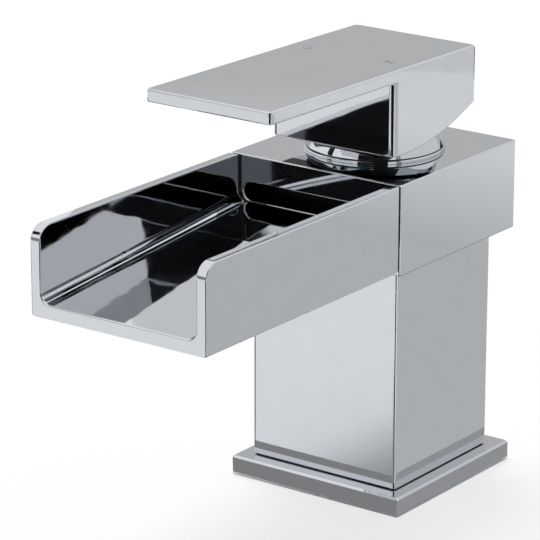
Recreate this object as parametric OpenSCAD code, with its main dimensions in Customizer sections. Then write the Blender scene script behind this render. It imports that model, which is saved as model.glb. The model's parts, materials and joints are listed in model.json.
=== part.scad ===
// Single-lever basin tap with an open waterfall spout, in millimetres.
// Origin: middle of the base plate's underside, on the axis of the cartridge.
// +X is to the right, +Y to the back and +Z up, so the spout points along -Y.
// The lever lies closed and at mid temperature, straight over the spout.

/* [Base plate] */
// How far the base plate stands out round the column
plate_out = 3.7; // [3.5:0.1:9]
// Thickness of the base plate
plate_t = 5; // [4:0.5:8]
// Bevel along the plate's top edges
plate_bevel = 0.5; // [0.2:0.1:1.2]
// Radius of the upright corners of plate, column and head
corner_r = 0.6; // [0.3:0.1:1.5]
// Height of the rim on the plate that centres the column
rim_h = 3; // [2:0.5:6]

/* [Deck seal] */
// Distance from the valve body to the ring that seals the plate to the basin
deck_seal_gap = 3; // [2:0.5:4]
// Width of that ring
deck_seal_w = 3; // [2:0.5:4]
// Thickness of that ring
deck_seal_t = 1.5; // [1:0.25:2.5]

/* [Column] */
// Air between the valve body and the column's walls
col_gap = 2.4; // [2:0.1:5]
// How much nearer to the axis the column's front and back walls stand than its sides
col_trim = 0.9; // [0:0.1:1]
// How far the column stands in front of the axis
col_lead = 0.5; // [0:0.1:0.8]
// Height from the plate to the head
col_h = 56.6; // [50:0.1:90]
// Wall of the column
col_wall = 2.5; // [1.5:0.25:3]
// Thickness of the gasket under the column
gasket_t = 0.4; // [0.3:0.1:1]
// How far the gaskets stand back from the outer faces, which shows as a dark joint
joint_inset = 0.4; // [0.2:0.1:1]

/* [Head] */
// Width of the head block and of the spout
head_w = 50; // [48:0.5:60]
// Depth of the head in front of the axis
head_front = 25.3; // [24:0.1:30]
// Depth of the head behind the axis
head_rear = 25.3; // [22:0.1:32]
// Height of the head block
head_h = 22.45; // [21:0.05:26]

/* [Spout] */
// Distance from the axis to the lip
spout_reach = 101; // [90:0.2:130]
// Height of the channel outside
spout_h = 21.55; // [19:0.05:22]
// Wall of the channel's sides
spout_wall = 2.75; // [2:0.25:4]
// Thickness of the channel's floor at the lip
lip_t = 3.4; // [2:0.1:4]
// How much the floor climbs from the lip to the head
floor_rise = 6.5; // [5.4:0.1:7.4]
// Radius along the foot of the channel's inner sides
trough_r = 2.5; // [1:0.25:4]
// Radius of the side walls' top corners at the lip
nose_r = 4; // [1:0.5:6]
// Radius along the channel's lower outer edges
keel_r = 0.8; // [0.4:0.2:2]
// Thickness of the seal between spout and head
spout_seal_t = 0.5; // [0.4:0.1:1]
// Diameter of the two dowels that carry the spout
dowel_d = 4; // [3:0.5:5]
// Length of the dowels
dowel_l = 16; // [12:1:18]
// Distance between the dowels
dowel_span = 34; // [28:1:38]

/* [Water slot] */
// Width of the slot that feeds the channel
slot_w = 43; // [30:0.5:44]
// Height of the slot
slot_h = 4.5; // [4.2:0.1:5]
// Height of the slot's edge above the channel's floor
slot_lift = 0.2; // [0.1:0.1:0.5]
// Width of the way that feeds the slot from the chamber
feed_w = 16; // [10:1:20]
// Height of that way where it leaves the chamber
feed_h = 4; // [3:0.25:4]
// Wall left in front of that way
feed_wall = 2.6; // [2:0.2:3]

/* [Lever] */
// How far the lever's sides stand in from the shroud's foot ring
lever_in = -0.5; // [-1:0.05:0.2]
// Reach of the lever in front of the axis
lever_front = 67.4; // [50:0.2:80]
// Reach of the lever behind the axis
lever_rear = 17.9; // [17:0.1:22]
// Air between the head and the lever's block
lever_gap = 3.7; // [3.6:0.1:6]
// Height of the lever at its rear end, block and plate together
lever_h = 20.9; // [20:0.1:26]
// How much the lever's plate climbs from its rear end to its front end
lever_climb = 1.3; // [0:0.1:3]
// Thickness of the lever's plate
lever_t = 3.15; // [2:0.05:5]
// Reach of the block in front of the axis
block_front = 18; // [17:0.25:22]
// Distance in front of the axis where the block's underside starts to climb
heel_start = 14; // [13:0.25:15]
// Angle that the underside climbs to, so that the lever can tip back
heel_angle = 21; // [20:0.1:23]
// Radius of the bend into that climb
heel_r = 73; // [60:1:75]
// Radius of the upright corners of the lever's block and rear end
lever_corner_r = 1.6; // [0.5:0.1:3]
// Radius of the upright corners at the lever's front end
lever_nose_r = 1; // [0.5:0.1:1.5]
// Radius of the lever's rear edges
lever_edge_r = 1.2; // [0.4:0.1:1.4]
// Air between the lever's hollow and the shroud
hollow_gap = 0.6; // [0.5:0.1:0.9]

/* [Shroud] */
// Width of the shroud's foot ring
foot_ring_w = 3; // [2.8:0.05:3.3]
// How far the ball shape round the pivot reaches past the foot ring
dome_out = 0.8; // [0.6:0.05:0.9]
// Wall of the shroud
dome_wall = 1.5; // [1:0.1:1.8]
// Radius of the opening for the stem
dome_mouth_r = 10.5; // [10:0.25:12]
// Height of the foot ring
foot_ring_h = 0.85; // [0.6:0.05:1.1]
// Thickness of the washer between foot ring and shroud
washer_t = 0.25; // [0.2:0.05:0.4]
// Height of the shroud's lip, which the seal ring grips
shroud_lip_h = 0.7; // [0.5:0.1:1]

/* [Cartridge] */
// Radius of the cartridge's housing
cart_r = 12.4; // [12.2:0.05:12.6]
// Wall of the housing
cart_wall = 1.2; // [1:0.05:1.3]
// Depth of the flange's seat below the top of the head
seat_depth = 11.35; // [11:0.05:12]
// Thickness of the flange
flange_t = 2.5; // [2:0.1:3]
// How far the flange stands out of the housing
flange_out = 1.4; // [1:0.1:1.6]
// How far the neck's bore stands in from the housing's
neck_in = 2.52; // [2.4:0.02:2.6]
// Wall of the housing's neck
neck_wall = 1.9; // [1.5:0.1:2]
// Height of the neck above the head
neck_rise = 1.65; // [1:0.05:2]
// Thickness of the fixed ceramic disc
fixed_disc_t = 3.5; // [3:0.1:4]
// Thickness of the moving ceramic disc
moving_disc_t = 3; // [2.6:0.1:3.4]
// Radius of the moving disc and its carrier
moving_disc_r = 8.9; // [8.8:0.05:9]
// Height of the carrier
carrier_t = 4.6; // [4.4:0.1:5]
// Height of the guide's flange
guide_flange_t = 2.7; // [2.5:0.1:3]
// Thickness of the slip ring above the guide's flange
slip_t = 0.6; // [0.5:0.1:1]
// Height of the cartridge's base
base_t = 6.5; // [6:0.1:7]
// Height of the base's foot
base_foot_t = 3; // [2.8:0.1:3.4]
// Distance of the water ways to each side of the axis
way_x = 4.6; // [4.5:0.05:4.7]
// Distance of the water ways in front of the axis
way_y = 2.9; // [2.8:0.05:3]
// Radius of the water ways
way_r = 2.1; // [1.8:0.05:2.15]
// Radius of the mixing recess under the moving disc
recess_r = 4.6; // [4.4:0.05:4.8]
// Distance of the outlet behind the axis
outlet_y = 4.4; // [4.2:0.05:4.6]
// Radius of the outlet
outlet_r = 2.4; // [2.2:0.05:2.5]

/* [Stem] */
// Side of the square stem
stem_w = 6.6; // [6:0.1:6.8]
// Depth of the pivot below the top of the head
pivot_drop = 4.85; // [4.7:0.05:5]
// Diameter of the pivot pin
pin_d = 3; // [2.5:0.1:3.5]
// Radius of the ball at the stem's lower end
ball_r = 2.2; // [2:0.05:2.3]
// Depth of the ball's middle below the carrier's top
ball_sink = 1.3; // [1.1:0.05:1.5]
// Diameter of the stem between ball and pivot
shank_d = 3.4; // [3:0.1:3.5]
// Length of the stem inside the lever's socket
socket_depth = 8; // [6:0.25:8.5]
// Angle that the lever lifts through
lift_max = 20; // [15:1:20]

/* [Retaining nut] */
// How far the nut's thread stands out past the flange
nut_out = 1.2; // [1:0.05:1.3]
// Wall of the nut's collar above the head
collar_wall = 3.37; // [3.2:0.01:3.5]
// Height of the collar above the head
collar_h = 3.15; // [3:0.05:3.3]
// Width of the spanner notches in the collar
notch_w = 3; // [2:0.25:5]

/* [Valve body] */
// Width of the water chamber round the cartridge
chamber_gap = 2.1; // [1.9:0.05:2.3]
// Wall of the cup that holds the cartridge
cup_wall = 2; // [1.7:0.05:2.2]
// Depth that the body reaches into the head
collar_in = 4; // [3.6:0.1:4]
// Depth of the land that seals round the housing
land_t = 3; // [2.5:0.1:3]
// Height of the body's foot
foot_h = 14; // [13:0.5:20]
// Thickness of the floor of the cup
cup_floor_t = 6; // [4:0.5:10]
// Wall round the water ways in the waist
waist_wall = 2.6; // [2:0.1:3]

/* [Ports] */
// Radius of the threaded ports for the hot and cold tails
port_r = 4.5; // [4.4:0.05:4.6]
// Depth of those ports
port_depth = 12; // [8:0.5:12]
// Distance of the ports to each side of the axis
port_x = 6.5; // [6.3:0.05:6.7]
// Distance of the ports in front of the axis
port_y = 4; // [3.8:0.05:4.2]
// Radius of the threaded hole for the fixing stud
stud_r = 3.4; // [3:0.1:3.8]
// Depth of the stud's hole
stud_depth = 20; // [12:1:26]
// Distance of the stud's hole behind the axis
stud_y = 8.5; // [8:0.25:9]

/* [Grub screw] */
// Diameter of the grub screw
grub_d = 4.2; // [3:0.1:5]
// Length of the grub screw
grub_l = 8; // [6:0.5:10]
// Height of the screw above the bottom of the stem's socket
grub_rise = 4; // [3:0.25:5]
// Diameter of the plug over the screw
plug_d = 5.4; // [5.2:0.1:7]
// Thickness of the plug
plug_t = 2.5; // [1.5:0.25:3]
// Width across the flats of the key's socket
key_w = 2.5; // [2:0.25:2.5]

/* [Fits] */
// Gap round pieces that are seated in each other
seat_gap = 0.05; // [0.02:0.01:0.1]
// Radial gap of turning and pivoting fits
run_gap = 0.05; // [0.03:0.01:0.1]
// Gap beside pieces that slide or swing freely
free_gap = 0.15; // [0.1:0.05:0.25]
// Radius of the section of the small seal rings
oring_s = 0.7; // [0.6:0.05:0.75]

/* [Hidden] */
$fn = 96;
// How far every cut runs past the face that it opens
over = 1;

// Radii of the cartridge and of what holds it
bore_r = cart_r - cart_wall;
flange_r = cart_r + flange_out;
neck_bore_r = bore_r - neck_in;
neck_r = neck_bore_r + neck_wall;
guide_r = neck_bore_r - run_gap;
nut_r = flange_r + nut_out;
collar_r = neck_r + free_gap + collar_wall;
chamber_r = cart_r + chamber_gap;
body_r = chamber_r + cup_wall;

// Widths and radii that follow from them
col_w = 2 * (body_r + col_gap + col_wall);
col_d = col_w - 2 * col_trim;
plate_w = col_w + 2 * plate_out;
deck_seal_r = body_r + deck_seal_gap + deck_seal_w / 2;
collar_bore_r = collar_r + 2 * free_gap;
shroud_r = collar_bore_r + foot_ring_w;
dome_r = shroud_r + dome_out;
lever_w = 2 * (shroud_r - lever_in);

// Levels of the outer body
z_col = plate_t + gasket_t;
z_head = plate_t + col_h;
z_top = z_head + head_h;
z_spout = z_top - spout_h;
z_pivot = z_top - pivot_drop;

// Shares of the flange above the guide's roof, and of the moving disc before its recess
roof_share = 0.3;
recess_share = 1 / 7;

// Levels of the cartridge, from its flange down to its foot
z_flange = z_top - seat_depth;
z_neck = z_flange + flange_t;
z_roof = z_neck - roof_share * flange_t;
z_slip = z_roof - slip_t;
z_guide = z_slip - run_gap - guide_flange_t;
z_carrier_top = z_guide - 2 * free_gap;
z_carrier = z_carrier_top - carrier_t;
z_moving = z_carrier - moving_disc_t;
z_fixed = z_moving - fixed_disc_t;
z_cart = z_fixed - base_t;
z_housing = z_cart + base_foot_t;
z_ball = z_carrier_top - ball_sink;
z_neck_top = z_top + neck_rise;

// Levels of the shroud's lower edge and of the ring that grips it
z_shroud = z_top + foot_ring_h + washer_t;
z_grip = z_shroud + shroud_lip_h / 2;

// How far the moving disc slides, and where it rests
disc_travel = (z_pivot - z_ball) * lift_max * PI / 180;
disc_rest = disc_travel / 2;

// The feed way, from the chamber up to the slot
z_chamber = z_flange - land_t;
feed_front = head_front - feed_wall;
feed_rear = body_r + seat_gap;
floor_z = z_spout + lip_t + floor_rise;
slot_z = floor_z + slot_lift;

// The spout
spout_rear = head_front + spout_seal_t;
floor_slope = atan(floor_rise / (spout_reach - head_front));
trough_w = head_w - 2 * spout_wall;
dowel_z = z_spout + lip_t + dowel_d / 2;

// The lever, its hollow and its socket
z_under = z_top + lever_gap;
z_lever = z_under + lever_h;
climb_slope = lever_climb / (lever_front + lever_rear);
z_plate = z_lever - lever_t + climb_slope * (lever_rear + block_front);
hollow_r = dome_r + hollow_gap;
z_socket = z_pivot + hollow_r;
z_grub = z_socket + grub_rise;
stem_top = z_socket + socket_depth;
slot_half = stem_w / 2 + free_gap;
swing_up = (z_neck_top + over - z_pivot) * tan(lift_max) + stem_w / 2 / cos(lift_max) + free_gap;
swing_down = (z_pivot - z_ball) * sin(lift_max) + ball_r + free_gap;
root_drop = pin_d + stem_w / 4;

// Seal ring grooves, a little deeper than the ring so that nothing is squeezed
groove_h = 2 * oring_s + free_gap;

// Points of a round corner, from angle a0 to a1 about the point c
function bend(c, r, a0, a1, n = 8) = [for (i = [0:n])
    let (a = a0 + (a1 - a0) * i / n) [c[0] + r * cos(a), c[1] + r * sin(a)]];

// A square outline with round corners, w by d
module round_outline(w, d, r) {
    square([w - 2 * r, d], center = true);
    square([w, d - 2 * r], center = true);
    for (x = [-1, 1], y = [-1, 1]) translate([x * (w / 2 - r), y * (d / 2 - r)]) circle(r);
}

// An upright bar with round corners
module round_bar(w, d, h, r) {
    linear_extrude(h) round_outline(w, d, r);
}

// An upright tube between two radii
module tube(r_out, r_in, h) {
    difference() {
        cylinder(h = h, r = r_out);
        translate([0, 0, -over]) cylinder(h = h + 2 * over, r = r_in);
    }
}

// A seal ring with a round section, of outer radius r_out
module seal_ring(r_out, s) {
    rotate_extrude() translate([r_out - s, 0]) circle(s, $fn = 24);
}

// Both sides of the axis
module both_sides(x) {
    for (side = [-1, 1]) translate([side * x, 0, 0]) children();
}

// A rod along +Y that starts at the origin
module rod_back(r, l) {
    rotate([-90, 0, 0]) cylinder(h = l, r = r);
}

// A slab whose top edges are bevelled
module bevel_slab(w, h, b) {
    profile = [[-w / 2, 0], [w / 2, 0], [w / 2, h - b], [w / 2 - b, h], [-w / 2 + b, h],
        [-w / 2, h - b]];
    intersection() {
        rotate([90, 0, 0]) linear_extrude(w, center = true) polygon(profile);
        rotate([90, 0, 90]) linear_extrude(w, center = true) polygon(profile);
        round_bar(w, w, h, corner_r);
    }
}

// The square plate that covers the hole in the basin, with the rim that centres the column
module base_plate() {
    rim_w = col_w - 2 * col_wall - 2 * seat_gap;
    rim_d = col_d - 2 * col_wall - 2 * seat_gap;
    color("silver") difference() {
        union() {
            bevel_slab(plate_w, plate_t, plate_bevel);
            translate([0, -col_lead, 0]) round_bar(rim_w, rim_d, plate_t + rim_h, corner_r);
        }
        translate([0, 0, -over])
            cylinder(h = plate_t + rim_h + 2 * over, r = body_r + seat_gap);
        translate([0, 0, -over])
            tube(deck_seal_r + deck_seal_w / 2 + seat_gap, deck_seal_r - deck_seal_w / 2 - seat_gap,
                deck_seal_t + over);
    }
}

// The flat ring in the plate's underside
module deck_seal() {
    color("black") tube(deck_seal_r + deck_seal_w / 2, deck_seal_r - deck_seal_w / 2, deck_seal_t);
}

// The thin gasket under the column, which shows as a dark joint
module column_gasket() {
    color("black") translate([0, -col_lead, plate_t]) difference() {
        round_bar(col_w - 2 * joint_inset, col_d - 2 * joint_inset, gasket_t, corner_r);
        translate([0, 0, -over])
            round_bar(col_w - 2 * col_wall, col_d - 2 * col_wall, gasket_t + 2 * over, corner_r);
    }
}

// The nearly square tube between plate and head
module column_shell() {
    color("silver") translate([0, -col_lead, z_col]) difference() {
        round_bar(col_w, col_d, z_head - z_col, corner_r);
        translate([0, 0, -over])
            round_bar(col_w - 2 * col_wall, col_d - 2 * col_wall, col_h + 2 * over, corner_r);
    }
}

// The way that the water takes through the head: up in front of the cartridge, out of the slot
module feed_way() {
    depth = feed_front - feed_rear;
    translate([-feed_w / 2, -feed_front, z_chamber - feed_h])
        cube([feed_w, depth, slot_z + slot_h - z_chamber + feed_h]);
    translate([-feed_w / 2, -feed_front, z_chamber - feed_h]) cube([feed_w, feed_front, feed_h]);
    translate([-slot_w / 2 + slot_h / 2, -head_front - over, slot_z])
        cube([slot_w - slot_h, over + head_front - feed_rear, slot_h]);
    both_sides(slot_w / 2 - slot_h / 2) translate([0, -head_front - over, slot_z + slot_h / 2])
        rod_back(slot_h / 2, over + head_front - feed_rear);
}

// The dowels, or with a gap round them their holes
module dowels(gap) {
    both_sides(dowel_span / 2) translate([0, -spout_rear - dowel_l / 2 - gap, dowel_z])
        rod_back(dowel_d / 2 + gap, dowel_l + 2 * gap);
}

// The block on top of the column, bored for the cartridge and cut with the water slot
module head_block() {
    color("silver") difference() {
        translate([0, (head_rear - head_front) / 2, z_head])
            round_bar(head_w, head_front + head_rear, head_h, corner_r);
        translate([0, 0, z_head - over]) cylinder(h = collar_in + over, r = body_r + seat_gap);
        translate([0, 0, z_head]) cylinder(h = z_chamber - z_head, r = chamber_r);
        translate([0, 0, z_head]) cylinder(h = head_h + over, r = cart_r + seat_gap);
        translate([0, 0, z_flange]) cylinder(h = seat_depth + over, r = nut_r + seat_gap);
        feed_way();
        dowels(seat_gap);
    }
}

// The water ways on both sides, as upright rods
module ways(z0, z1, r) {
    both_sides(way_x) translate([0, -way_y, z0]) cylinder(h = z1 - z0, r = r);
}

// The casting inside the column: foot with ports, waist with the water ways, cup for the cartridge
module valve_body() {
    z_cup = z_cart - cup_floor_t;
    waist_r = way_r + waist_wall;
    groove_r = body_r - 2 * oring_s;
    color("goldenrod") difference() {
        union() {
            cylinder(h = foot_h, r = body_r);
            ways(0, z_cart, waist_r);
            translate([-way_x, -way_y - waist_r / 2, 0]) cube([2 * way_x, waist_r, z_cart]);
            translate([0, stud_y, 0]) cylinder(h = stud_depth + waist_wall, r = stud_r + waist_wall);
            translate([0, 0, z_cup]) cylinder(h = z_head + collar_in - z_cup, r = body_r);
        }
        translate([0, 0, z_cart]) cylinder(h = z_top, r = chamber_r);
        ways(port_depth - over, z_cart + over, way_r);
        both_sides(port_x) translate([0, -port_y, -over]) cylinder(h = port_depth + over, r = port_r);
        translate([0, stud_y, -over]) cylinder(h = stud_depth + over, r = stud_r);
        translate([0, 0, z_head + collar_in / 2 - groove_h / 2])
            tube(body_r + over, groove_r, groove_h);
    }
}

// The ring that seals the valve body in the head
module body_oring() {
    color("black") translate([0, 0, z_head + collar_in / 2]) seal_ring(body_r, oring_s - seat_gap);
}

// The space inside the channel, open at the top and at the lip
module trough() {
    height = 2 * spout_h;
    length = spout_reach + over;
    translate([0, -head_front, floor_z]) rotate([floor_slope, 0, 0])
        translate([0, over, 0]) rotate([90, 0, 0]) linear_extrude(length) {
            translate([-trough_w / 2, trough_r]) square([trough_w, height]);
            translate([-trough_w / 2 + trough_r, 0]) square([trough_w - 2 * trough_r, height]);
            both_sides(trough_w / 2 - trough_r) translate([0, trough_r]) circle(trough_r);
        }
}

// The channel's outline from behind, drawn in by an inset, with its lower edges round
module channel_section(inset) {
    w = head_w - 2 * inset;
    translate([-w / 2, keel_r]) square([w, spout_h - inset - keel_r]);
    translate([-w / 2 + keel_r, inset]) square([w - 2 * keel_r, keel_r]);
    both_sides(w / 2 - keel_r) translate([0, keel_r + inset]) circle(keel_r);
}

// The open channel that the water runs along
module spout_channel() {
    length = spout_reach - spout_rear;
    side = concat([[0, 0], [length, 0]],
        bend([length - nose_r, spout_h - nose_r], nose_r, 0, 90), [[0, spout_h]]);
    color("silver") difference() {
        intersection() {
            translate([head_w / 2, -spout_rear, z_spout]) rotate([90, 0, -90])
                linear_extrude(head_w) polygon(side);
            translate([0, -spout_rear, z_spout]) rotate([90, 0, 0])
                linear_extrude(length) channel_section(0);
        }
        trough();
        dowels(seat_gap);
    }
}

// The seal between channel and head, set back from the outer faces
module spout_seal() {
    color("black") difference() {
        translate([0, -head_front, z_spout]) rotate([90, 0, 0])
            linear_extrude(spout_seal_t) channel_section(joint_inset);
        trough();
        dowels(seat_gap);
    }
}

// The two dowels that carry the channel
module spout_dowels() {
    color("gray") dowels(0);
}

// The lower end of the cartridge, with the inlets, the outlet and the window beside it
module cartridge_base() {
    color("white") difference() {
        union() {
            translate([0, 0, z_cart]) cylinder(h = base_foot_t, r = cart_r);
            translate([0, 0, z_cart]) cylinder(h = base_t, r = bore_r - seat_gap);
        }
        ways(z_cart - over, z_fixed + over, way_r);
        ways(z_cart - over, z_cart + oring_s, way_r + 2 * oring_s);
        translate([0, outlet_y, z_cart + over]) cylinder(h = base_t, r = outlet_r);
        translate([-outlet_r, outlet_y, z_cart + over])
            cube([2 * outlet_r, cart_r, base_foot_t - 2 * over + oring_s]);
    }
}

// The two flat seals under the inlets
module inlet_seals() {
    color("black") both_sides(way_x) translate([0, -way_y, z_cart])
        tube(way_r + 2 * oring_s - seat_gap, way_r, oring_s - seat_gap);
}

// The shell of the cartridge, with its flange and neck
module cartridge_housing() {
    groove_z = z_flange - land_t / 2 - groove_h / 2;
    color("white") difference() {
        union() {
            translate([0, 0, z_housing]) cylinder(h = z_neck - z_housing, r = cart_r);
            translate([0, 0, z_flange]) cylinder(h = flange_t, r = flange_r);
            translate([0, 0, z_flange]) cylinder(h = z_neck_top - z_flange, r = neck_r);
        }
        translate([0, 0, z_housing - over]) cylinder(h = z_roof - z_housing + over, r = bore_r);
        translate([0, 0, z_housing]) cylinder(h = z_top, r = neck_bore_r);
        translate([0, 0, groove_z]) tube(cart_r + over, cart_r - oring_s, groove_h);
    }
}

// The ring that seals the housing in the head's land
module housing_oring() {
    s = oring_s / 2;
    color("black") translate([0, 0, z_flange - land_t / 2]) seal_ring(cart_r, s - seat_gap / 2);
}

// The lower ceramic disc, which stays still
module fixed_disc() {
    color("whitesmoke") difference() {
        translate([0, 0, z_fixed]) cylinder(h = fixed_disc_t, r = bore_r - free_gap);
        ways(z_fixed - over, z_moving + over, way_r);
        translate([0, outlet_y, z_fixed - over]) cylinder(h = fixed_disc_t + 2 * over, r = outlet_r);
    }
}

// The upper ceramic disc, whose recess joins the inlets to the outlet when it moves forward
module moving_disc() {
    recess_t = moving_disc_t / 2;
    recess_y = disc_rest + recess_share * moving_disc_r;
    color("whitesmoke") difference() {
        translate([0, disc_rest, z_moving]) cylinder(h = moving_disc_t, r = moving_disc_r);
        translate([0, recess_y, z_moving - over]) cylinder(h = recess_t + over, r = recess_r);
    }
}

// The slider on the moving disc, with the pocket for the stem's ball
module disc_carrier() {
    pocket = 2 * (ball_r + free_gap);
    depth = ball_sink + ball_r + free_gap;
    color("dimgray") difference() {
        translate([0, disc_rest, z_carrier]) cylinder(h = carrier_t, r = moving_disc_r);
        translate([-pocket / 2, -pocket / 2, z_carrier_top - depth]) cube([pocket, pocket, depth + over]);
    }
}

// The part that turns in the housing and carries the stem's pin
module stem_guide() {
    flange = bore_r - 2 * run_gap;
    height = z_neck_top + over - z_guide;
    color("ivory") difference() {
        union() {
            translate([0, 0, z_guide]) cylinder(h = guide_flange_t, r = flange);
            translate([0, 0, z_guide]) cylinder(h = height, r = guide_r);
        }
        translate([-slot_half, -swing_down, z_guide - over])
            cube([2 * slot_half, swing_down + swing_up, height + 2 * over]);
        translate([-guide_r - over, 0, z_pivot]) rotate([0, 90, 0])
            cylinder(h = 2 * (guide_r + over), r = pin_d / 2 + seat_gap / 2);
        translate([0, 0, z_guide + guide_flange_t / 2 - groove_h / 2])
            tube(flange + over, flange - 2 * oring_s, groove_h);
    }
}

// The ring that seals the guide in the housing
module guide_oring() {
    color("black") translate([0, 0, z_guide + guide_flange_t / 2])
        seal_ring(bore_r - run_gap, oring_s - seat_gap / 2);
}

// The thin ring that the guide's flange bears on
module slip_ring() {
    color("tan") translate([0, 0, z_slip]) tube(bore_r - seat_gap, neck_bore_r, slip_t);
}

// The lever's stem: square above, with a ball below that pushes the carrier
module stem() {
    root = z_pivot - root_drop;
    color("gray") difference() {
        union() {
            translate([0, 0, z_ball]) sphere(ball_r);
            translate([0, 0, z_ball]) cylinder(h = z_pivot - z_ball, d = shank_d);
            translate([-stem_w / 2, -stem_w / 2, root]) cube([stem_w, stem_w, stem_top - root]);
        }
        translate([-stem_w, 0, z_pivot]) rotate([0, 90, 0])
            cylinder(h = 2 * stem_w, r = pin_d / 2 + run_gap);
    }
}

// The pin that the lever tips on
module stem_pin() {
    half = sqrt(guide_r * guide_r - pin_d * pin_d / 4) - seat_gap;
    color("gray") translate([-half, 0, z_pivot]) rotate([0, 90, 0])
        cylinder(h = 2 * half, d = pin_d);
}

// The nut that holds the cartridge down, with its collar above the head
module retaining_nut() {
    bore = neck_r + free_gap;
    groove_r = collar_r - oring_s;
    color("goldenrod") difference() {
        union() {
            translate([0, 0, z_neck]) cylinder(h = z_top - z_neck, r = nut_r);
            translate([0, 0, z_neck]) cylinder(h = z_top + collar_h - z_neck, r = collar_r);
        }
        translate([0, 0, z_neck - over]) cylinder(h = z_top, r = bore);
        for (turn = [0, 90]) rotate(turn)
            translate([-notch_w / 2, -nut_r, z_grip + oring_s]) cube([notch_w, 2 * nut_r, collar_h]);
        translate([0, 0, z_grip - groove_h / 4]) tube(nut_r + over, groove_r, groove_h / 2);
    }
}

// The flat ring that the shroud stands on
module shroud_seat() {
    color("silver") translate([0, 0, z_top]) tube(shroud_r, collar_bore_r, foot_ring_h);
}

// The dark washer between that ring and the shroud
module shroud_washer() {
    color("black") translate([0, 0, z_top + foot_ring_h])
        tube(shroud_r - joint_inset, collar_bore_r, washer_t);
}

// The ball-shaped cover round the pivot, so that the lever can tip and turn over it
module shroud() {
    half = dome_r + over;
    z_lip = z_shroud + shroud_lip_h;
    color("silver") difference() {
        intersection() {
            translate([0, 0, z_pivot]) sphere(dome_r);
            translate([-half, -half, z_shroud]) cube([2 * half, 2 * half, half]);
        }
        intersection() {
            translate([0, 0, z_pivot]) sphere(dome_r - dome_wall);
            translate([-half, -half, z_lip]) cube([2 * half, 2 * half, half]);
        }
        translate([0, 0, z_shroud - over]) cylinder(h = shroud_lip_h + 2 * over, r = collar_bore_r);
        translate([0, 0, z_pivot]) cylinder(h = 2 * dome_r, r = dome_mouth_r);
    }
}

// The ring that grips the shroud on the nut's collar
module shroud_oring() {
    s = groove_h / 4;
    color("black") translate([0, 0, z_grip]) seal_ring(collar_bore_r - seat_gap, s);
}

// The lever from the side: a thin plate that climbs a little to the front, and a block behind it
// whose underside climbs to the rear
module lever_side() {
    a = heel_angle;
    rear_z = z_under + heel_r * (1 - cos(a)) + (lever_rear + heel_start - heel_r * sin(a)) * tan(a);
    polygon(concat(
        [[-block_front, z_under]],
        bend([-heel_start, z_under + heel_r], heel_r, -90, -90 + a),
        [[lever_rear, rear_z]],
        bend([lever_rear - lever_edge_r, z_lever - lever_edge_r], lever_edge_r, 0, 90),
        [[-lever_front, z_lever + lever_climb], [-lever_front, z_lever + lever_climb - lever_t],
            [-block_front, z_plate]]));
}

// The lever's plate from above, with its own corner radius at each end
module lever_outline() {
    translate([0, (lever_rear - lever_front) / 2])
        round_outline(lever_w, lever_front + lever_rear, lever_corner_r);
    translate([0, -lever_front / 2]) round_outline(lever_w, lever_front, lever_nose_r);
}

// The lever: outline from the side and from above, hollow over the shroud, bored for the stem
module handle() {
    height = lever_h + lever_climb + 2 * over;
    plug_y = lever_rear - plug_t;
    color("silver") difference() {
        intersection() {
            translate([-lever_w / 2, 0, 0]) rotate([90, 0, 90]) linear_extrude(lever_w) lever_side();
            union() {
                translate([0, (lever_rear - block_front) / 2, z_under - over])
                    round_bar(lever_w, lever_rear + block_front, height, lever_corner_r);
                translate([0, 0, z_plate]) linear_extrude(height) lever_outline();
            }
        }
        translate([0, 0, z_pivot]) sphere(hollow_r);
        translate([-stem_w / 2 - seat_gap, -stem_w / 2 - seat_gap, z_pivot])
            cube([stem_w + 2 * seat_gap, stem_w + 2 * seat_gap, stem_top + seat_gap - z_pivot]);
        translate([0, 0, z_grub]) rod_back(grub_d / 2 + seat_gap, lever_rear + over);
        translate([0, plug_y - seat_gap, z_grub]) rod_back(plug_d / 2 + seat_gap, plug_t + over);
    }
}

// The screw that clamps the lever on the stem
module grub_screw() {
    color("gray") difference() {
        translate([0, stem_w / 2, z_grub]) rod_back(grub_d / 2, grub_l);
        translate([0, stem_w / 2 + grub_l / 2, z_grub]) rotate([-90, 0, 0])
            cylinder(h = grub_l, d = key_w / cos(30), $fn = 6);
    }
}

// The plug that hides the screw in the back of the lever
module grub_plug() {
    color("silver") translate([0, lever_rear - plug_t, z_grub]) rod_back(plug_d / 2, plug_t);
}

base_plate();
deck_seal();
column_gasket();
column_shell();
head_block();
valve_body();
body_oring();
spout_channel();
spout_seal();
spout_dowels();
cartridge_base();
inlet_seals();
cartridge_housing();
housing_oring();
fixed_disc();
moving_disc();
disc_carrier();
stem_guide();
guide_oring();
slip_ring();
stem();
stem_pin();
retaining_nut();
shroud_seat();
shroud_washer();
shroud();
shroud_oring();
handle();
grub_screw();
grub_plug();
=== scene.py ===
# %% [markdown]
# # A single-lever waterfall basin tap in polished chrome
# The tap is a square column on a square plate, with a wider head on top. An open channel stands out
# in front of the head, and the water runs along it like a small waterfall. A flat lever sits on a
# ball-shaped shroud. Almost everything that shows is bright chrome, so the picture is made of
# reflections: flat faces have to be truly flat, edges have to be finely rounded, and the studio
# round the tap matters as much as the tap itself.
#
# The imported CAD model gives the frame: every size and place below is in it, with +X to the right, +Y
# to the back, +Z up, and the tap's axis through the origin.

# %% Load the frame
import json

import bmesh
import bpy
import numpy as np
from mathutils import Matrix


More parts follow.
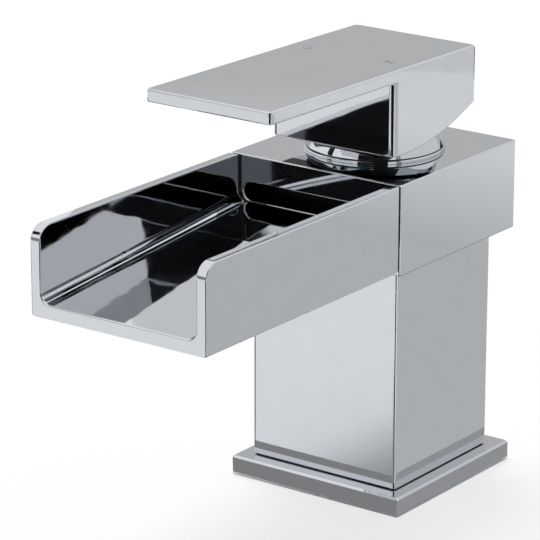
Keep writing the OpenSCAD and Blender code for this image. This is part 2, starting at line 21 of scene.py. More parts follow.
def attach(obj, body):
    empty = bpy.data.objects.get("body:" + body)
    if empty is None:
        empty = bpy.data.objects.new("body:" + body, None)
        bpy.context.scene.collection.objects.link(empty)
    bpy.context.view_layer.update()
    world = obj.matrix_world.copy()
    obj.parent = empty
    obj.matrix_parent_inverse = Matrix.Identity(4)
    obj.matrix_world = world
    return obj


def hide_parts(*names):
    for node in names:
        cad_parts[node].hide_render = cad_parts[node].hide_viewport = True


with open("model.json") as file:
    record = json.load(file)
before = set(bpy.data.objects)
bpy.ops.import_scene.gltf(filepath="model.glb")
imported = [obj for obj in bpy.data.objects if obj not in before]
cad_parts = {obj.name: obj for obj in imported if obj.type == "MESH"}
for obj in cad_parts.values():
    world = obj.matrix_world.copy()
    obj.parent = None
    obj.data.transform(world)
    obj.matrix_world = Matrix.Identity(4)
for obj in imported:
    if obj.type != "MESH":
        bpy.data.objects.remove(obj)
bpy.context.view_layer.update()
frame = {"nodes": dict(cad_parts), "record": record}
MM = 0.001  # the sizes below are in millimetres, and a mesh is in metres
NODES = frame["nodes"]

# %% [markdown]
# ## The camera
# The photograph is a product shot from a little above the tap's right front corner, with a long
# lens: the upright edges stay almost parallel. The angles, the distance and the focal length come
# from a least-squares fit of the block's edges. The picture was cropped off centre, so the lens is
# shifted a little. A shift keeps the perspective, which turning the camera would not.

# %% Camera
AIM = np.array([0.0, -37.1, 60.0])
AZIMUTH, ELEVATION, ROLL = np.radians([35.942, 18.015, 0.178])
DISTANCE = 797.8
SENSOR, PICTURE_PX = 36.0, 540
FOCAL_PX = 3344.0
AXIS_PX = np.array([285.17, 276.5])


def camera_axes(azimuth, elevation, roll):
    """The camera's right, up and back directions: back points from the aim to the camera, right lies
    level, and both right and up are then turned by the roll about back."""
    level = np.array([np.sin(azimuth), -np.cos(azimuth), 0.0])
    back = np.cos(elevation) * level + np.sin(elevation) * np.array([0.0, 0.0, 1.0])
    right = np.array([np.cos(azimuth), np.sin(azimuth), 0.0])
    up = np.cross(back, right)
    c, s = np.cos(roll), np.sin(roll)
    return c * right + s * up, c * up - s * right, back


def put_at(thing, axes, point):
    """Puts a camera or a lamp at a point in metres: its right, up and back directions and the point are
    the columns of its matrix."""
    matrix = np.eye(4)
    matrix[:3, :3] = np.stack(axes, axis=1)
    matrix[:3, 3] = point
    thing.matrix_world = Matrix(matrix.tolist())
    bpy.context.scene.collection.objects.link(thing)


axes = camera_axes(AZIMUTH, ELEVATION, ROLL)
lens = bpy.data.cameras.new("camera")
lens.sensor_width = SENSOR
lens.lens = FOCAL_PX / PICTURE_PX * SENSOR
lens.shift_x, lens.shift_y = (np.array([0.5, 0.5]) - AXIS_PX / PICTURE_PX) * [1, -1]
lens.clip_start, lens.clip_end = 0.01, 50.0
camera = bpy.data.objects.new("camera", lens)
camera_point = (AIM + DISTANCE * axes[2]) * MM
put_at(camera, axes, camera_point)
bpy.context.scene.camera = camera
print("lens", round(lens.lens, 1), "mm, camera at", np.round(camera_point, 3))

# %% [markdown]
# ## Tools for the surfaces
# Each piece is a grid of points: rows of an outline, one row after another. The quads between
# neighbours make the skin. A row can be a turn round a square with round corners, a turn round a
# circle, or a section that is carried along an axis. A circle's points match a square's points one
# by one, so that a flat face can run from a square edge to a round bore.

# %% Outlines
SIDE_STEPS, CORNER_STEPS = 10, 6
OUTLINE_STEPS = 4 * (SIDE_STEPS + CORNER_STEPS)


def square_outline(half_x, half_y, radius, centre_y=0.0):
    """A turn round a rectangle: each quarter goes along one side at a constant distance from the
    middle, then round one corner, at its centre plus radius times (cos a, sin a)."""
    quarter, k = np.divmod(np.arange(OUTLINE_STEPS), SIDE_STEPS + CORNER_STEPS)
    turn = quarter * np.pi / 2
    out = np.stack([np.cos(turn), np.sin(turn)], axis=1)
    along = np.stack([-np.sin(turn), np.cos(turn)], axis=1)
    even = quarter % 2 == 0
    half_out, half_along = np.where(even, half_x, half_y), np.where(even, half_y, half_x)
    run = np.clip(2 * k / SIDE_STEPS - 1, -1, 1) * (half_along - radius)
    angle = np.clip((k - SIDE_STEPS) / CORNER_STEPS, 0, 1) * np.pi / 2
    centre = out * (half_out - radius)[:, None] + along * run[:, None]
    arc = out * np.cos(angle)[:, None] + along * np.sin(angle)[:, None]
    return centre + radius * arc + [0.0, centre_y]


def round_outline(radius):
    """A circle whose points match those of square_outline: equal turns, starting as far below the
    X axis as the first side starts."""
    first = -np.pi / 4 * SIDE_STEPS / (SIDE_STEPS + CORNER_STEPS)
    angle = first + 2 * np.pi * np.arange(OUTLINE_STEPS) / OUTLINE_STEPS
    return radius * np.stack([np.cos(angle), np.sin(angle)], axis=1)


def rounded_polygon(corners, radii, steps=5):
    """Closed outlines from corners of shape (..., n, 2): at each corner an arc of its radius that
    touches both sides, its points blended from the first touching point to the last by the sines of
    the remaining and the made turn. Also gives each point's outward direction."""
    p, r = np.asarray(corners, float), np.asarray(radii, float)[:, None]

    def unit(v):
        """The same direction at length one."""
        return v / np.linalg.norm(v, axis=-1, keepdims=True)

    to_last, to_next = unit(np.roll(p, 1, -2) - p), unit(np.roll(p, -1, -2) - p)
    half = np.arccos(np.sum(to_last * to_next, -1, keepdims=True)) / 2
    middle = p + unit(to_last + to_next) * r / np.sin(half)
    start = p + to_last * r / np.tan(half) - middle
    end = p + to_next * r / np.tan(half) - middle
    turn = (np.pi - 2 * half)[..., None, :]
    t = np.linspace(0, 1, steps + 1)[:, None]
    arc = np.sin((1 - t) * turn) * start[..., None, :] + np.sin(t * turn) * end[..., None, :]
    arc = arc / np.sin(turn)
    bend = to_next[..., 0] * to_last[..., 1] - to_next[..., 1] * to_last[..., 0]
    outward = arc / r[:, None] * np.sign(bend)[..., None, None]
    shape = p.shape[:-2] + (-1, 2)
    return (middle[..., None, :] + arc).reshape(shape), outward.reshape(shape)


def rectangle(x0, y0, x1, y1):
    """The four corners of a rectangle."""
    return [(x0, y0), (x1, y0), (x1, y1), (x0, y1)]


print("outline points:", OUTLINE_STEPS)

# %% [markdown]
# A grid becomes a mesh with `foreach_set`. Rows can close into a ring, as on a tube, or end in a flat
# cap. Doubles are merged and the normals turned outwards. A chrome face shows every dent, so the
# weighted normal modifier gives each corner the direction of its largest flat face: the shading then
# bends only on the fine rounding beside it.

# %% Grids and meshes
SHARP = np.radians(34)


def quads(rows, cols, closed_rows):
    """Corner numbers of the quads between neighbouring points of a grid whose columns close."""
    r, c = np.meshgrid(np.arange(rows if closed_rows else rows - 1), np.arange(cols), indexing="ij")
    r2, c2 = (r + 1) % rows, (c + 1) % cols
    return np.stack([r * cols + c, r * cols + c2, r2 * cols + c2, r2 * cols + c], -1).reshape(-1, 4)


def skin(name, grid, closed_rows=False):
    """A mesh from a grid of shape (rows, columns, 3) in millimetres: quads between the rows, and a
    flat face over the first and the last row where the rows don't close."""
    rows, cols = grid.shape[:2]
    faces = quads(rows, cols, closed_rows)
    corners, totals = faces.ravel(), np.full(len(faces), 4)
    if not closed_rows:
        first, last = np.arange(cols)[::-1], np.arange(cols) + (rows - 1) * cols
        corners, totals = np.concatenate([corners, first, last]), np.append(totals, [cols, cols])
    mesh = bpy.data.meshes.new(name)
    mesh.vertices.add(rows * cols)
    mesh.vertices.foreach_set("co", (grid * MM).astype(np.float32).ravel())
    mesh.loops.add(len(corners))
    mesh.loops.foreach_set("vertex_index", corners.astype(np.int32))
    mesh.polygons.add(len(totals))
    mesh.polygons.foreach_set("loop_start", (np.cumsum(totals) - totals).astype(np.int32))
    mesh.update(calc_edges=True)
    tidy = bmesh.new()
    tidy.from_mesh(mesh)
    bmesh.ops.remove_doubles(tidy, verts=tidy.verts, dist=1e-3 * MM)
    bmesh.ops.dissolve_degenerate(tidy, edges=tidy.edges, dist=1e-4 * MM)
    bmesh.ops.recalc_face_normals(tidy, faces=tidy.faces)
    tidy.to_mesh(mesh)
    tidy.free()
    mesh.validate()
    piece = bpy.data.objects.new(name, mesh)
    bpy.context.scene.collection.objects.link(piece)
    return piece


def cut(piece, cutters):
    """Takes each cutter's space out of the piece and removes the cutter."""
    for cutter in cutters:
        knife = piece.modifiers.new("cut", "BOOLEAN")
        knife.operation, knife.solver, knife.object = "DIFFERENCE", "EXACT", cutter
    bpy.context.view_layer.update()
    done = bpy.data.meshes.new_from_object(piece.evaluated_get(bpy.context.evaluated_depsgraph_get()))
    piece.modifiers.clear()
    piece.data = done
    for cutter in cutters:
        bpy.data.objects.remove(cutter)
    return piece


def finish_piece(piece, body, nodes, material, weight=100):
    """Smooth shading, the finish, and the CAD body and nodes it stands for. The weight of a face's area
    is 100 where flat faces have to stay flat, and 50, the plain mean, on a piece turned all round."""
    mesh = piece.data
    mesh.materials.clear()
    mesh.materials.append(material)
    mesh.shade_smooth()
    mesh.set_sharp_from_angle(angle=SHARP)
    flat = piece.modifiers.new("flat_faces", "WEIGHTED_NORMAL")
    flat.mode, flat.weight, flat.keep_sharp = "FACE_AREA", weight, True
    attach(piece, body)
    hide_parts(*nodes)
    places = np.empty((len(mesh.vertices), 3))
    mesh.vertices.foreach_get("co", places.ravel())
    low, high = np.round(places.min(axis=0) / MM, 2), np.round(places.max(axis=0) / MM, 2)
    print(piece.name, len(mesh.polygons), "faces,", low, "to", high)
    return piece


def line_inside(piece, inside, material):
    """Gives a further finish to the faces whose centres, in millimetres, and normals are inside."""
    mesh = piece.data
    centres, normals = np.empty((2, len(mesh.polygons), 3))
    slots = np.empty(len(mesh.polygons), np.int32)
    mesh.polygons.foreach_get("center", centres.ravel())
    mesh.polygons.foreach_get("normal", normals.ravel())
    mesh.polygons.foreach_get("material_index", slots)
    chosen = inside(centres / MM, normals)
    slots[chosen] = len(mesh.materials)
    mesh.materials.append(material)
    mesh.polygons.foreach_set("material_index", slots)
    print(piece.name, int(chosen.sum()), "faces are", material.name)


def stack(outlines, heights):
    """Rows of a grid: outlines of shape (n, 2), each lifted to its height."""
    flat = np.stack(outlines)
    level = np.broadcast_to(np.asarray(heights, float)[:, None, None], flat.shape[:2] + (1,))
    return np.concatenate([flat, level], axis=-1)


def turned(profile, steps=128):
    """Rows of a grid: each point (radius, height) of a profile, turned once round the Z axis."""
    angle = 2 * np.pi * np.arange(steps) / steps
    radius, height = np.asarray(profile, float).T
    return np.stack([np.outer(radius, np.cos(angle)), np.outer(radius, np.sin(angle)),
                     np.repeat(height[:, None], steps, axis=1)], axis=-1)


def lay_back(grid, height):
    """A grid made round the Z axis, laid so that its axis runs along +Y at the given height."""
    x, y, z = np.moveaxis(grid, -1, 0)
    return np.stack([x, z, height - y], axis=-1)


def rounding(radius, steps=5):
    """How an edge is rounded: the set-back r (1 - cos a) and the rise r sin a, for angles a from 0 to
    90 degrees."""
    angle = np.linspace(0, np.pi / 2, steps + 1)
    return radius * (1 - np.cos(angle)), radius * np.sin(angle)


print("tools ready")

# %% [markdown]
# ## Finishes
# Each finish starts from the real material. One function turns an sRGB hex value into the linear
# colour that a shader wants, and one adds a node with its settings and links.

# %% Node helpers
def linear(code):
    """An sRGB hex value as a linear colour: (c + 0.055) / 1.055 to the power 2.4, or c / 12.92 for a
    dark colour."""
    c = np.array([int(code[i:i + 2], 16) for i in (1, 3, 5)]) / 255
    return (*np.where(c > 0.04045, ((c + 0.055) / 1.055) ** 2.4, c / 12.92).tolist(), 1.0)


def add_node(tree, kind, inputs=None, **settings):
    """Adds a node with its settings. An input is a value, or the output socket that feeds it."""
    node = tree.nodes.new(kind)
    for key, value in settings.items():
        setattr(node, key, value)
    for key, value in (inputs or {}).items():
        if isinstance(value, bpy.types.NodeSocket):
            tree.links.new(value, node.inputs[key])
        else:
            node.inputs[key].default_value = value
    return node


def new_finish(name):
    """An empty material, its node tree and its object coordinates in metres."""
    material = bpy.data.materials.new(name)
    material.use_nodes = True
    tree = material.node_tree
    tree.nodes.clear()
    return material, tree, add_node(tree, "ShaderNodeTexCoord").outputs["Object"]


def per_metre(size_mm):
    """The scale of a noise whose features have that size in millimetres."""
    return 1 / (size_mm * MM)


print("a mid grey as a linear colour:", np.round(linear("#808080"), 3))

# %% [markdown]
# ### Polished chrome
# Bright nickel and chrome plating on polished brass. It is a mirror with a faintly cool tint that
# gives back about two thirds of the light. The plating is very smooth, but the polishing wheel leaves
# the metal under it a little wavy, which bends long reflections, and a breath of haze that varies over
# a few millimetres keeps the mirror from looking like glass. Inside the channel and in the corner under
# the lever the metal is polished by hand, with shorter and deeper waves. Where no wheel can reach, in
# the bores, in the lever's hollow and along the joints, the plating is rough and dull, and its colour is
# painted nearly black as painted shade for these hidden places.

# %% Chrome
HAZE_PATCH, CASTING_GRAIN = 6.0, 0.6  # mm across a patch of haze, and across a grain of the casting


def polished_chrome(name, wave_length, wave_depth):
    """A mirror over a slow noise of waves with the given length and depth in millimetres. A second,
    finer noise varies the roughness and the tint."""
    material, tree, place = new_finish(name)
    wave = add_node(tree, "ShaderNodeTexNoise", {
        "Vector": place, "Scale": per_metre(wave_length), "Detail": 1.0})
    bump = add_node(tree, "ShaderNodeBump", {
        "Height": wave.outputs["Fac"], "Strength": 1.0, "Distance": wave_depth * MM})
    haze = add_node(tree, "ShaderNodeTexNoise", {
        "Vector": place, "Scale": per_metre(HAZE_PATCH), "Detail": 3.0})
    rough = add_node(tree, "ShaderNodeMapRange", {
        "Value": haze.outputs["Fac"], "From Min": 0.3, "From Max": 0.7, "To Min": 0.02, "To Max": 0.05})
    tint = add_node(tree, "ShaderNodeMix", {
        "Factor": haze.outputs["Fac"], "A": linear("#D0D3D7"), "B": linear("#D6D9DD")}, data_type="RGBA")
    metal = add_node(tree, "ShaderNodeBsdfPrincipled", {
        "Base Color": tint.outputs["Result"], "Metallic": 1.0, "Roughness": rough.outputs["Result"],
        "Normal": bump.outputs["Normal"]})
    add_node(tree, "ShaderNodeOutputMaterial", {"Surface": metal.outputs["BSDF"]})
    return material


def painted_shade_plating():
    """Plating that no wheel reaches, in the bores, under the lever and in the joints: the grain of the
    casting shows through as fine bumps and the metal is rough. Its nearly black colour is painted shade
    for these hidden places."""
    material, tree, place = new_finish("dull_plating_painted_shade")
    grain = add_node(tree, "ShaderNodeTexNoise", {
        "Vector": place, "Scale": per_metre(CASTING_GRAIN), "Detail": 3.0})
    bump = add_node(tree, "ShaderNodeBump", {
        "Height": grain.outputs["Fac"], "Strength": 0.7, "Distance": 0.03 * MM})
    tint = add_node(tree, "ShaderNodeMix", {
        "Factor": grain.outputs["Fac"], "A": linear("#333435"), "B": linear("#404142")},
        data_type="RGBA")
    metal = add_node(tree, "ShaderNodeBsdfPrincipled", {
        "Base Color": tint.outputs["Result"], "Metallic": 1.0, "Roughness": 0.42,
        "Normal": bump.outputs["Normal"]})
    add_node(tree, "ShaderNodeOutputMaterial", {"Surface": metal.outputs["BSDF"]})
    return material


CHROME = polished_chrome("polished_chrome_plate", 22.0, 0.012)
HAND_CHROME = polished_chrome("hand_polished_chrome", 9.0, 0.03)
# Dull plating whose nearly black colour is painted shade for recesses and joints.
DULL_PAINTED_SHADE = painted_shade_plating()
print([(m.name, len(m.node_tree.nodes)) for m in (CHROME, HAND_CHROME, DULL_PAINTED_SHADE)])

# %% [markdown]
# ## Base plate
# A square brass plate, 50.2 mm wide and 5 mm thick, covers the hole in the basin. Its top edges are
# bevelled. Underneath, a groove holds the flat seal, and inside the column a rim centres it. It could
# be a cube with a hole cut in it, but one grid does all of it: squares and circles with matching
# points, stacked from the hole's lower edge outwards, over the top, and back down the hole.

# %% Base plate
PLATE_HALF, PLATE_TOP, PLATE_BEVEL, CORNER = 25.1, 5.0, 0.5, 0.6
RIM_X, RIM_Y, RIM_TOP, PLATE_BORE = 18.85, 17.95, 8.0, 16.55
COLUMN_LEAD = 0.5  # mm that the column stands in front of the axis
SEAL_IN, SEAL_OUT, SEAL_DEEP = 19.45, 22.55, 1.5
FINE = 0.2  # mm, an edge that was only broken with a cloth

plate_rows = [
    (round_outline(PLATE_BORE), 0), (round_outline(SEAL_IN), 0), (round_outline(SEAL_IN), SEAL_DEEP),
    (round_outline(SEAL_OUT), SEAL_DEEP), (round_outline(SEAL_OUT), 0),
    (square_outline(PLATE_HALF - FINE, PLATE_HALF - FINE, CORNER), 0),
    (square_outline(PLATE_HALF, PLATE_HALF, CORNER), FINE),
    (square_outline(PLATE_HALF, PLATE_HALF, CORNER), PLATE_TOP - PLATE_BEVEL),
    (square_outline(PLATE_HALF - PLATE_BEVEL, PLATE_HALF - PLATE_BEVEL, CORNER), PLATE_TOP),
    (square_outline(RIM_X, RIM_Y, CORNER, -COLUMN_LEAD), PLATE_TOP),
    (square_outline(RIM_X, RIM_Y, CORNER, -COLUMN_LEAD), RIM_TOP),
    (round_outline(PLATE_BORE), RIM_TOP)]
plate = skin("base_plate_chrome", stack(*zip(*plate_rows)), closed_rows=True)
finish_piece(plate, "tap_body", ["base_plate"], CHROME)

# %% [markdown]
# ## Column
# A nearly square tube, 42.8 mm wide and 41 mm deep, stands on the plate and carries the head. The dark
# gasket under it stands back a little, so the column seems to float on a fine black line. The tube is
# the same kind of grid, a square going up outside and coming down inside.

# %% Column
COLUMN_X, COLUMN_Y, COLUMN_WALL, UPRIGHT = 21.4, 20.5, 2.5, 0.75
COLUMN_LOW, COLUMN_TOP = 5.25, 61.6  # the lower edge bites 0.15 mm into the gasket


def column_outline(inset):
    """The column's outline, drawn in by the inset."""
    return square_outline(COLUMN_X - inset, COLUMN_Y - inset, UPRIGHT, -COLUMN_LEAD)


back_set, rise = rounding(FINE, 3)
column_rows = [(column_outline(COLUMN_WALL), COLUMN_LOW)]
column_rows += [(column_outline(s), COLUMN_LOW + FINE - z) for s, z in zip(back_set[::-1], rise[::-1])]
column_rows += [(column_outline(s), COLUMN_TOP - FINE + z) for s, z in zip(back_set, rise)]
column_rows += [(column_outline(COLUMN_WALL), COLUMN_TOP)]
column = skin("column_chrome", stack(*zip(*column_rows)), closed_rows=True)
finish_piece(column, "tap_body", ["column_shell"], CHROME)

# %% [markdown]
# ## Head
# The head is a solid block, bored from above for the cartridge and from below for the valve body. In
# front, a long slot with round ends lets the water out just above the channel's floor. The block is a
# stack of squares with finely rounded edges. The bores are turned shapes, the slot is an obround
# carried along Y, and both are cut out of the block. The slot's cutter widens towards the face like a
# trumpet, which leaves the slot's lip rounded.

# %% Head
HEAD_HALF, HEAD_FRONT, HEAD_REAR, HEAD_LOW, HEAD_TOP = 25.0, -25.3, 25.3, 61.6, 84.05
EDGE = 0.35  # mm, the rounding of a polished edge
SLOT_HALF, SLOT_LOW, SLOT_TOP, SLOT_BACK = 21.1, 72.6, 77.3, -16.55
DOWEL_X, DOWEL_Y, DOWEL_Z, DOWEL_R = 17.0, (-33.85, -17.75), 67.9, 2.05
head_half_y, head_y = (HEAD_REAR - HEAD_FRONT) / 2, (HEAD_REAR + HEAD_FRONT) / 2
back_set, rise = rounding(EDGE)
head_rows = [(square_outline(HEAD_HALF - s, head_half_y - s, CORNER, head_y), HEAD_LOW + EDGE - z)
             for s, z in zip(back_set[::-1], rise[::-1])]
head_rows += [(square_outline(HEAD_HALF - s, head_half_y - s, CORNER, head_y), HEAD_TOP - EDGE + z)
              for s, z in zip(back_set, rise)]
head = skin("head_chrome", stack(*zip(*head_rows)))


def slot_cutter():
    """An obround section carried along Y. Its height grows by r (1 - cos a) over the last r sin a
    before the face, so the lip is a quarter circle, and it then runs on past the face."""
    angle = np.linspace(0, 2 * np.pi, 64, endpoint=False)
    radius = (SLOT_TOP - SLOT_LOW) / 2
    centre_x = np.sign(np.cos(angle)) * (SLOT_HALF - radius)
    grow, step = rounding(EDGE)
    wide = np.concatenate([[0.0], grow, [EDGE]])
    y = np.concatenate([[SLOT_BACK], HEAD_FRONT + EDGE - step, [HEAD_FRONT - 1]])
    x = centre_x + np.outer(radius + wide, np.cos(angle))
    z = (SLOT_TOP + SLOT_LOW) / 2 + np.outer(radius + wide, np.sin(angle))
    return skin("slot", np.stack([x, np.repeat(y[:, None], 64, axis=1), z], axis=-1))


def box_cutter(low, high):
    """A plain box between two corners, as two rows of four points."""
    outline = rectangle(*low[:2], *high[:2])
    return skin("box", stack([outline, outline], [low[2], high[2]]))


def dowel_cutters():
    """The two holes for the dowels, along Y."""
    holes = lay_back(turned([(DOWEL_R, DOWEL_Y[0]), (DOWEL_R, DOWEL_Y[1])], 32), DOWEL_Z)
    return [skin("dowel_hole", holes + [x, 0, 0]) for x in (-DOWEL_X, DOWEL_X)]


BODY_R, BODY_TOP = 16.55, 65.6  # the valve body's pocket, bored from below
NECK_R, LEDGE_R, LEDGE_LOW, LEDGE_HIGH, CARTRIDGE_R = 14.5, 12.45, 69.7, 72.7, 15.05
WAY_HALF, WAY_LOW, WAY_FRONT, WAY_TOP = 8, 65.7, -22.7, 76.0  # the way that the water takes to the slot
bore = [(BODY_R, HEAD_LOW - 1), (BODY_R, BODY_TOP), (NECK_R, BODY_TOP), (NECK_R, LEDGE_LOW),
        (LEDGE_R, LEDGE_LOW), (LEDGE_R, LEDGE_HIGH), (CARTRIDGE_R, LEDGE_HIGH),
        (CARTRIDGE_R, HEAD_TOP + 1)]
water_way = [box_cutter((-WAY_HALF, WAY_FRONT, WAY_LOW), (WAY_HALF, SLOT_BACK, WAY_TOP)),
             box_cutter((-WAY_HALF, SLOT_BACK - 0.45, WAY_LOW), (WAY_HALF, 0, LEDGE_LOW))]
cut(head, [skin("bore", turned(bore, 96)), slot_cutter()] + water_way + dowel_cutters())
finish_piece(head, "tap_body", ["head_block"], CHROME)
skin_low = np.array([-HEAD_HALF, HEAD_FRONT, HEAD_LOW]) + EDGE
skin_high = np.array([HEAD_HALF, HEAD_REAR, HEAD_TOP]) - EDGE
# The faces inside the bores, the slot and the water way get the dull plating, whose dark colour is
# painted shade in these recesses.
line_inside(head, lambda c, n: np.all((c > skin_low) & (c < skin_high), axis=1), DULL_PAINTED_SHADE)
# The head's rounded lower edge gets the same dark colour, a painted shade line where the column meets
# the head.
line_inside(head, lambda c, n: (n[:, 2] < -0.2) & (n[:, 2] > -0.99) & (c[:, 2] < HEAD_LOW + EDGE),
            DULL_PAINTED_SHADE)  # the lower edge, where the column meets the head

# %% [markdown]
# ## Spout channel
# The open channel is a separate casting, pinned to the head by two dowels. Its side walls are 2.75 mm
# thick with round top corners at the lip, and its floor falls towards the lip so that the water runs
# off. The section is a U with a wide radius along the foot of the inner walls. It is carried along Y:
# the floor sinks with the slope, the walls' tops follow the nose's quarter circle, and the outline
# draws in by a fine rounding where the front face begins.

# %% Spout channel
LIP, CHANNEL_REAR, CHANNEL_LOW, CHANNEL_TOP = -101.0, -26.05, 62.5, 84.05
WALL_IN, NOSE, TROUGH, KEEL = 22.25, 4.0, 2.5, 0.8
FLOOR_REAR, FLOOR_LIP = 72.4, 65.9


def channel_grid():
    """Sections at distances d behind the lip. The walls' top follows the nose's circle, which is
    top - N + sqrt(N^2 - (N - d)^2). Near the lip the outline draws in by r - sqrt(r^2 - (r - d)^2), and
    the floor is a straight line in y."""
    nose_d = NOSE * (1 - np.sin(np.linspace(np.pi / 2, 0, 17)))
    length = CHANNEL_REAR - LIP
    set_back, step = rounding(FINE, 3)
    d = np.concatenate([nose_d, np.linspace(NOSE, length - FINE, 9)[1:-1], length - FINE + step])
    rear = np.concatenate([np.zeros(len(d) - len(set_back)), set_back])
    near = np.clip(EDGE - d, 0, EDGE)
    draw = EDGE - np.sqrt(EDGE ** 2 - near ** 2)
    top = CHANNEL_TOP - NOSE + np.sqrt(NOSE ** 2 - np.clip(NOSE - d, 0, NOSE) ** 2) - rear
    y = LIP + d
    slope = (FLOOR_REAR - FLOOR_LIP) / (HEAD_FRONT - LIP)
    floor = FLOOR_LIP + slope * d - draw
    low, out, inner = CHANNEL_LOW + draw + rear, HEAD_HALF - draw - rear, WALL_IN + draw
    corners = np.array([(-out, low), (out, low), (out, top), (inner, top), (inner, floor),
                        (-inner, floor), (-inner, top), (-out, top)]).transpose(2, 0, 1)
    section, _ = rounded_polygon(corners, [KEEL, KEEL, EDGE, EDGE, TROUGH, TROUGH, EDGE, EDGE], 6)
    depth = np.broadcast_to(y[:, None], section.shape[:2])
    return np.stack([section[..., 0], depth, section[..., 1]], axis=-1)


channel = cut(skin("spout_channel_chrome", channel_grid()), dowel_cutters())
finish_piece(channel, "tap_body", ["spout_channel"], CHROME)
line_inside(channel, lambda c, n: (np.abs(c[:, 0]) < WALL_IN + 0.05) & (c[:, 2] > FLOOR_LIP - 0.05)
            & (c[:, 1] > LIP + 1), HAND_CHROME)
# The channel's rear end gets the dark plating too, painted shade that darkens the joint against the
# head.
line_inside(channel, lambda c, n: n[:, 1] > 0.5, DULL_PAINTED_SHADE)  # the end that stands in the joint

# %% [markdown]
# ## Shroud and foot ring
# The shroud is a thin ball-shaped cover round the lever's pivot, so the lever's hollow can tip and
# turn over it. It stands on a flat ring, and a dark washer between them shows as a fine groove. Both
# are turned parts on the real tap, and here too: a profile of radius and height that goes once round
# the axis. A lip inside the shroud's lower edge grips the seal ring on the nut's collar.

# %% Shroud and foot ring
PIVOT, DOME, DOME_IN, MOUTH, SHROUD_BORE = 79.2, 18.2, 16.7, 10.5, 14.4
RING, RING_LOW, RING_TOP, RING_EDGE = 17.4, 84.05, 84.9, 0.35
DOME_LOW, DOME_EDGE, LIP_TOP = 85.15, 0.08, 85.85


def sphere_radius(radius, z):
    """The radius of a sphere about the pivot at a height: sqrt(R^2 - (z - pivot)^2)."""
    return np.sqrt(radius ** 2 - (z - PIVOT) ** 2)


def sphere_profile(radius, z0, z1, steps):
    """Points (radius, height) of a sphere about the pivot between two heights, in equal turns."""
    a0, a1 = np.arcsin((np.array([z0, z1]) - PIVOT) / radius)
    angle = np.linspace(a0, a1, steps)
    return np.stack([radius * np.cos(angle), PIVOT + radius * np.sin(angle)], axis=1)


ring_corners = [(SHROUD_BORE, RING_LOW), (RING, RING_LOW), (RING, RING_TOP), (SHROUD_BORE, RING_TOP)]
ring_profile, _ = rounded_polygon(ring_corners, [0.1, 0.1, RING_EDGE, 0.1], 5)
ring = skin("foot_ring_chrome", turned(ring_profile, 256), closed_rows=True)
finish_piece(ring, "tap_body", ["shroud_seat"], CHROME, 50)

mouth_out, mouth_in = (PIVOT + np.sqrt(r ** 2 - MOUTH ** 2) for r in (DOME, DOME_IN))
foot = [(SHROUD_BORE, LIP_TOP), (SHROUD_BORE, DOME_LOW),
        (sphere_radius(DOME, DOME_LOW) - DOME_EDGE, DOME_LOW)]
dome = np.concatenate([foot, sphere_profile(DOME, DOME_LOW + DOME_EDGE, mouth_out, 40),
                       sphere_profile(DOME_IN, mouth_in, LIP_TOP, 24)])
shroud = skin("shroud_chrome", turned(dome, 256), closed_rows=True)
finish_piece(shroud, "tap_body", ["shroud"], CHROME, 50)

# %% [markdown]
# ## Lever
# The lever is one casting: a plate about 3 mm thick that the fingers push and that climbs a little to
# its front end, and a deep block behind it whose underside climbs to the rear, so that the lever can
# tip back. Its side view is an outline with fine roundings. It is carried along X, drawing in at both
# ends for the rounded edges, while the front and rear ends step back round the upright corners. The
# hollow over the shroud, the stem's socket, the grub screw's hole and the two small marks, C for cold
# and H for hot, are then cut out.

# %% Lever
LEVER_HALF, LEVER_FRONT, LEVER_REAR = 17.9, -67.4, 17.9
LEVER_TOP, CLIMB, LEVER_PLATE, BLOCK_UNDER, BLOCK_FRONT = 108.65, 1.3, 3.15, 87.75, -18.0
HEEL_START, HEEL_R, HEEL_ANGLE = -14.0, 73.0, np.radians(21.0)
LEVER_CORNER, LEVER_NOSE, LEVER_EDGE, REAR_EDGE = 1.6, 1.0, 0.45, 1.2
HOLLOW, SOCKET_HALF, SOCKET_TOP, GRUB_Z = 18.8, 3.35, 106.05, 102.0


def lever_top(y):
    """The height of the lever's top: a straight climb from the rear end to the front end."""
    return LEVER_TOP + CLIMB * (LEVER_REAR - y) / (LEVER_REAR - LEVER_FRONT)


def lever_side():
    """The side view as (y, z) corners, turned counter-clockwise, with the heel's long arc as points of
    a circle: start + R sin a, under + R (1 - cos a)."""
    a = np.linspace(0, HEEL_ANGLE, 14)
    heel = np.stack([HEEL_START + HEEL_R * np.sin(a), BLOCK_UNDER + HEEL_R * (1 - np.cos(a))], axis=1)
    rear_z = heel[-1, 1] + (LEVER_REAR - heel[-1, 0]) * np.tan(HEEL_ANGLE)
    corners = np.concatenate([[(BLOCK_FRONT, BLOCK_UNDER)], heel, [
        (LEVER_REAR, rear_z), (LEVER_REAR, LEVER_TOP), (LEVER_FRONT, lever_top(LEVER_FRONT)),
        (LEVER_FRONT, lever_top(LEVER_FRONT) - LEVER_PLATE),
        (BLOCK_FRONT, lever_top(BLOCK_FRONT) - LEVER_PLATE)]])
    radii = [LEVER_EDGE] + [1.0] * len(heel) + [LEVER_EDGE, REAR_EDGE] + [LEVER_EDGE] * 3
    return rounded_polygon(corners, radii, 5)


